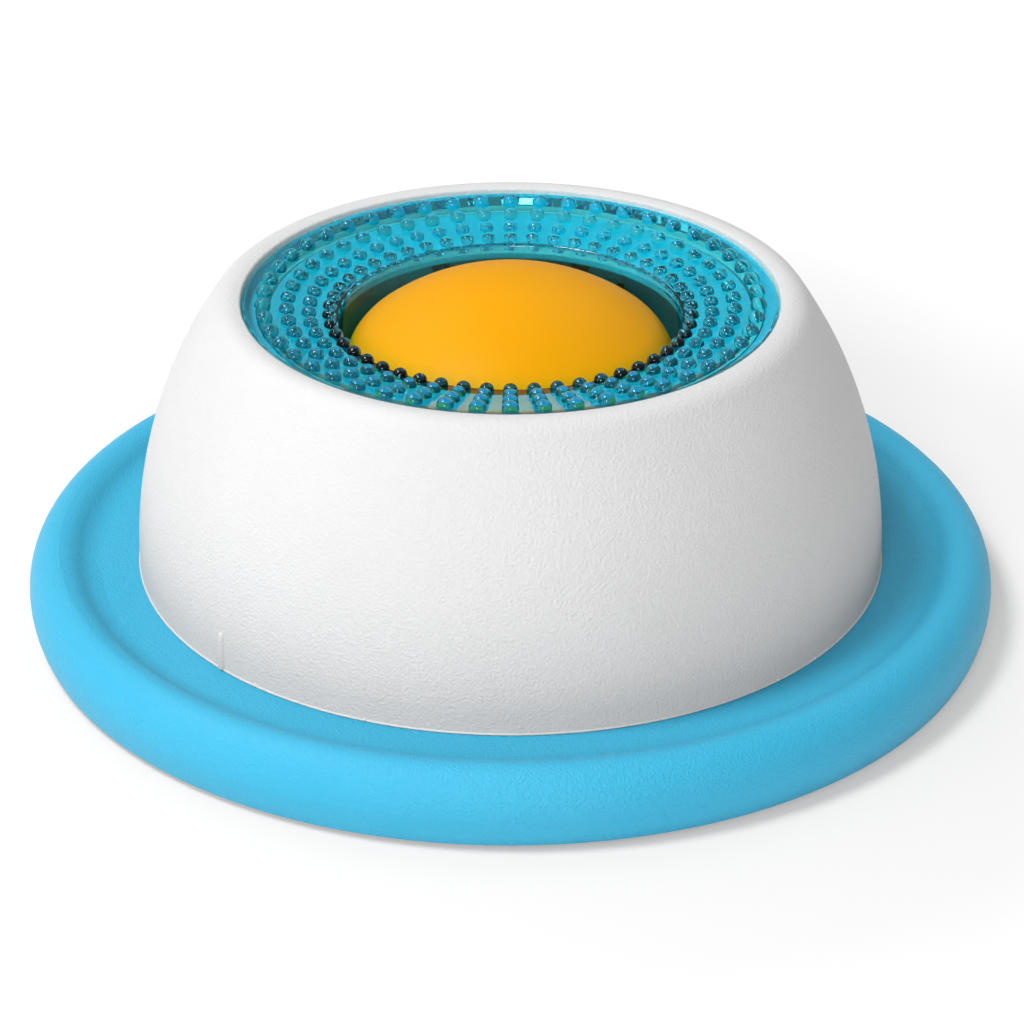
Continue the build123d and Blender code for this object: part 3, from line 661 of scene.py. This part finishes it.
@dataclass
class LidRing:
    """Clear dished ring with rows of nubs, a skirt and a collar. Sizes in millimetres."""

    hole: float = 34.7
    width: float = 19.4
    top: float = 68.3
    ledge: float = 64.85
    plate: float = 3.0
    flat: float = 1.0
    dish_radius: float = 230.0
    edge_round: float = 0.8
    well_round: float = 1.0
    well_turn: float = 98.0
    collar_wall: float = 2.3
    collar_bottom: float = 45.0
    skirt: float = 51.6
    skirt_wall: float = 2.4
    skirt_bottom: float = 57.4
    skirt_margin: float = 0.05
    groove_top: float = 62.6
    groove_bottom: float = 60.2
    groove_depth: float = 1.2
    nubs_in_row: int = 50
    row_shares: tuple[float, ...] = (0.1, 0.31, 0.54, 0.79)
    nub_sizes: tuple[float, float] = (1.45, 1.8)
    nub_lift: float = 0.15
    nub_cut: float = 0.7
    nub_sides: int = 16
    nub_rings: int = 10

    def dish(self, radius: float, depth: float = 0.0) -> float:
        """Height of the dished face, or of a level below it, at a radius."""
        rim = self.hole + self.width - self.flat
        middle = self.top + math.sqrt(self.dish_radius ** 2 - rim ** 2)
        return middle - math.sqrt((self.dish_radius + depth) ** 2 - radius ** 2)

    def dish_run(self, start: float, end: float, steps: int, depth: float = 0.0) -> list[Point]:
        """Points along the dished face or its underside."""
        return [(radius, self.dish(radius, depth))
                for radius, _ in stretch((start, 0), (end, 0), steps)]

    def profile(self) -> list[Point]:
        """Closed profile of the ring without its nubs."""
        outer, collar = self.hole + self.width, self.hole + self.collar_wall
        inner, floor = self.skirt - self.skirt_wall, self.skirt - self.groove_depth
        bead = self.well_round
        well = self.dish(self.hole + bead) - bead
        edge = (outer - self.edge_round, self.top - self.edge_round)
        return (self.dish_run(self.hole + bead, outer - self.flat, steps=26)
                + arc(edge, self.edge_round, 90, 0, steps=6)
                + [(outer, self.ledge), (self.skirt, self.ledge), (self.skirt, self.groove_top),
                   (floor, self.groove_top), (floor, self.groove_bottom),
                   (self.skirt, self.groove_bottom), (self.skirt, self.skirt_bottom),
                   (inner, self.skirt_bottom)]
                + self.dish_run(inner, collar, steps=10, depth=self.plate)
                + [(collar, self.collar_bottom), (self.hole, self.collar_bottom)]
                + arc((self.hole + bead, well), bead, 180, self.well_turn, steps=6))

    def nub_row(self, share: float, finish: Finish) -> bpy.types.Object:
        """Model one nub and copy it round the ring.

        Args:
            share: Place of the row across the ring, from its hole to its edge.
            finish: Finish of the row.

        Returns:
            The row as one piece.
        """
        small, large = self.nub_sizes
        size = small + (large - small) * share
        radius = self.hole + self.width * share
        height = self.dish(radius) + size * self.nub_lift
        select_only()
        bpy.ops.mesh.primitive_uv_sphere_add(segments=self.nub_sides, ring_count=self.nub_rings,
                                             radius=size * MM,
                                             location=(0, radius * MM, height * MM))
        row = keep_new("nub_row")
        open_edit()
        bpy.ops.mesh.bisect(plane_co=(0, radius * MM, (height - size * self.nub_cut) * MM),
                            plane_no=(0, 0, 1), use_fill=True, clear_inner=True)
        bpy.ops.mesh.select_all(action="SELECT")
        copy_round(self.nubs_in_row)
        close_edit()
        row.data.materials.append(finish_material(finish))
        return row

    def whiten_shaded_skirt(self, ring: bpy.types.Object) -> None:
        """Paint the skirt in the liner's white as painted light, so that the dark band of shade
        inside it doesn't show through the ring's edge.

        Args:
            ring: The ring with its nubs.
        """
        ring.data.materials.append(finish_material(Finish.INNER))
        painted_light_slot = len(ring.data.materials) - 1
        inner = (self.skirt - self.skirt_wall - self.skirt_margin) * MM
        top = (self.ledge - self.skirt_margin) * MM
        # Skirt faces get the white slot as painted light, in place of the shade they would show
        for face in ring.data.polygons:
            if face.center.z < top and face.center.xy.length > inner:
                face.material_index = painted_light_slot

    def build(self) -> None:
        """Turn the ring, raise its nubs and dress it."""
        ring = turn_piece("lid_ring", self.profile())
        ring.data.materials.append(finish_material(Finish.RING))
        # The innermost row stands over the dark well and stays clear
        first, *others = self.row_shares
        rows = [self.nub_row(first, Finish.RING)]
        rows += [self.nub_row(share, Finish.NUB) for share in others]
        select_only(*rows)
        bpy.ops.object.join()
        combine(ring, rows[0], "UNION")
        # Painted light: the skirt's faces take the liner's white, so that no shade shows through
        # the ring's edge
        self.whiten_shaded_skirt(ring)
        select_only(ring)
        bpy.ops.object.shade_smooth_by_angle(angle=NUB_CREASE)
        place_piece(ring, "lid", None, "ring_teal", "nub_ring")


@dataclass
class DomeButton:
    """Flattened dome that is pressed down. Sizes in millimetres."""

    radius: float = 34.0
    rise: float = 20.4
    shoulder: float = 13.5
    top: float = 72.2
    bottom: float = 46.0
    wall: float = 2.5
    tip_turn: float = 89.4

    def build(self) -> None:
        """Turn the dome, give it its wall and dress it."""
        equator, reach = self.top - self.rise, self.radius - self.shoulder
        crown = ((self.radius ** 2 + self.rise ** 2 - 2 * self.radius * self.shoulder)
                 / (2 * (self.rise - self.shoulder)))
        turn = math.degrees(math.atan2(crown - self.rise, reach))
        profile = (stretch((self.radius, self.bottom), (self.radius, equator), steps=3)
                   + arc((reach, equator), self.shoulder, 0, turn, steps=22)
                   + arc((0, self.top - crown), crown, turn, self.tip_turn, steps=30))
        dome = turn_piece("dome_cap", profile, closed=False)
        select_only(dome)
        wall = dome.modifiers.new("wall", "SOLIDIFY")
        wall.thickness, wall.offset = self.wall * MM, -1
        bpy.ops.object.modifier_apply(modifier=wall.name)
        bpy.ops.object.shade_smooth_by_angle(angle=CREASE)
        place_piece(dome, "button", Finish.DOME, "dome_yellow", "dome_button")


@dataclass
class ReturnSpring:
    """Coil under the plunger; pressing the dome shortens the real coil, but this one is wound at
    one length. Sizes in millimetres.
    """

    mean_radius: float = 6.2
    wire: float = 1.4
    wire_sides: int = 12
    turns: int = 8
    turn_steps: int = 40
    low: float = 8.257
    high: float = 51.768
    seat: float = 7.5
    travel: float = 10.0

    def build(self) -> None:
        """Wind the coil, close its ends and dress it."""
        select_only()
        bpy.ops.mesh.primitive_circle_add(vertices=self.wire_sides, radius=self.wire / 2 * MM,
                                          rotation=(math.radians(90), 0, 0),
                                          location=(self.mean_radius * MM, 0, self.low * MM))
        spring = keep_new("coil_spring")
        winding = spring.modifiers.new("winding", "SCREW")
        winding.screw_offset = (self.high - self.low) / self.turns * MM
        winding.iterations = self.turns
        winding.steps = winding.render_steps = self.turn_steps
        bpy.ops.object.modifier_apply(modifier=winding.name)
        open_edit()
        bpy.ops.mesh.remove_doubles(threshold=WELD)
        bpy.ops.mesh.fill_holes(sides=0)
        close_edit()
        bpy.ops.object.shade_smooth_by_angle(angle=COIL_CREASE)
        place_piece(spring, "base", Finish.WIRE, "spring_steel", "return_spring")
        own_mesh(spring)


@dataclass
class Mechanism:
    """Pieces of the frame that keep their solids and only take a finish."""

    finishes: dict[str, Finish] = field(default_factory=lambda: {
        "base_tray": Finish.TRAY, "outer_shell": Finish.BODY, "nub_ring": Finish.RING,
        "dome_button": Finish.DOME, "anti_slip_feet": Finish.RUBBER, "wiper_strip": Finish.RUBBER,
        "lid_gasket": Finish.SILICONE, "return_spring": Finish.WIRE, "drive_pins": Finish.WIRE,
        "metering_rotor": Finish.ROTOR, "stirring_fins": Finish.ROTOR, "tray_screws": Finish.SCREW,
        "shell_screws": Finish.SCREW, "barrel_screws": Finish.SCREW, "deck_screws": Finish.SCREW,
        "shield_screws": Finish.SCREW, "dome_screw": Finish.SCREW})

    def build(self) -> None:
        """Dress every node of the frame."""
        for name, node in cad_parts.items():
            material = finish_material(self.finishes.get(name, Finish.INNER))
            for slot in node.material_slots:
                slot.material = material
            log.info("%s: solid kept", name)


@dataclass(frozen=True)
class SoftBox:
    """Square soft box that faces the toy. Sizes in metres, power in watts."""

    name: str
    place: Place
    size: float
    power: float

    def hang(self) -> None:
        """Add the lamp and aim it at the cursor, which stands under the middle of the toy."""
        select_only()
        bpy.ops.object.light_add(type="AREA", location=self.place)
        lamp = bpy.context.object
        lamp.name = lamp.data.name = self.name
        lamp.data.shape, lamp.data.size, lamp.data.energy = "SQUARE", self.size, self.power
        aim = bpy.context.scene.cursor.location - lamp.location
        lamp.rotation_euler = aim.to_track_quat("-Z", "Y").to_euler()


@dataclass
class Studio:
    """White floor, soft light mostly from the left and the photograph's camera. Sizes in metres."""

    camera_place: Place = (0.0003, -0.6904, 0.3838)
    camera_pitch: float = 27.83
    lens: float = 132.06
    sensor: float = 36.0
    floor_size: float = 8.0
    floor_lift: float = 0.25
    fade_start: float = 0.14
    fade_end: float = 0.5
    room_light: float = 0.29
    soft_boxes: tuple[SoftBox, ...] = (
        SoftBox("top_softbox", (-0.6, -0.15, 1.3), size=0.4, power=9.0),
        SoftBox("front_softbox", (-0.2, -1.4, 0.6), size=0.4, power=7.0),
        SoftBox("left_softbox", (-1.2, -0.4, 0.4), size=0.8, power=1.9),
        SoftBox("back_left_softbox", (-0.62, 0.7, 0.92), size=0.6, power=1.7),
        SoftBox("back_right_softbox", (0.5, 0.9, 1.0), size=0.8, power=1.3))

    def seen_directly(self, tree: bpy.types.NodeTree) -> bpy.types.NodeSocket:
        """Add nodes that tell rays that show the floor from rays that only light the toy.

        Args:
            tree: Node tree of the floor's material.

        Returns:
            Output that is one for camera, glossy and transmission rays, and zero for the rest.
        """
        rays = add_node(tree, "ShaderNodeLightPath").outputs
        mirrored = add_maths(tree, "MAXIMUM", rays["Is Camera Ray"], rays["Is Glossy Ray"])
        return add_maths(tree, "MAXIMUM", mirrored, rays["Is Transmission Ray"])

    def floor(self) -> None:
        """Lay a white floor that keeps the toy's shadow and turns plain white further away."""
        select_only()
        bpy.ops.mesh.primitive_plane_add(size=self.floor_size)
        floor = keep_new("floor")
        material, tree, output = empty_material("white_paper_sweep")
        paper = add_node(tree, "ShaderNodeBsdfDiffuse", {"Color": PAPER})
        place = add_node(tree, "ShaderNodeTexCoord").outputs["Object"]
        away = add_node(tree, "ShaderNodeVectorMath", {"operation": "LENGTH"}, {"Vector": place})
        fade = add_node(tree, "ShaderNodeMapRange",
                        {"From Min": self.fade_start, "From Max": self.fade_end,
                         "To Min": self.floor_lift, "To Max": 1.0},
                        {"Value": away.outputs["Value"]})
        lift = add_maths(tree, "MULTIPLY", fade.outputs["Result"], self.seen_directly(tree))
        glow = add_node(tree, "ShaderNodeEmission", {"Color": WHITE}, {"Strength": lift})
        both = add_node(tree, "ShaderNodeAddShader")
        tree.links.new(paper.outputs["BSDF"], both.inputs[0])
        tree.links.new(glow.outputs["Emission"], both.inputs[1])
        tree.links.new(both.outputs["Shader"], output.inputs["Surface"])
        floor.data.materials.append(material)

    def light(self) -> None:
        """Hang the lamps and set the room's light."""
        for soft_box in self.soft_boxes:
            soft_box.hang()
        world = bpy.context.scene.world or bpy.data.worlds.new("room")
        bpy.context.scene.world = world
        world.use_nodes = True
        tree = world.node_tree
        tree.nodes.clear()
        room = add_node(tree, "ShaderNodeBackground",
                        {"Color": WHITE, "Strength": self.room_light})
        output = add_node(tree, "ShaderNodeOutputWorld")
        tree.links.new(room.outputs["Background"], output.inputs["Surface"])

    def camera(self) -> None:
        """Set up the camera at the photograph's place."""
        select_only()
        bpy.ops.object.camera_add(location=self.camera_place,
                                  rotation=(math.radians(90 - self.camera_pitch), 0, 0))
        camera = bpy.context.object
        camera.data.lens, camera.data.sensor_width = self.lens, self.sensor
        bpy.context.scene.camera = camera

    def build(self) -> None:
        """Set up floor, light and camera."""
        bpy.context.scene.view_settings.view_transform = "Standard"
        self.floor()
        self.light()
        self.camera()


def main() -> None:
    """Build the toy and its studio."""
    logging.basicConfig(level=logging.INFO, format="%(name)s %(message)s")
    for part in (Mechanism(), Body(), LidRing(), DomeButton(), ReturnSpring(), Studio()):
        part.build()


if __name__ == "__main__":
    main()
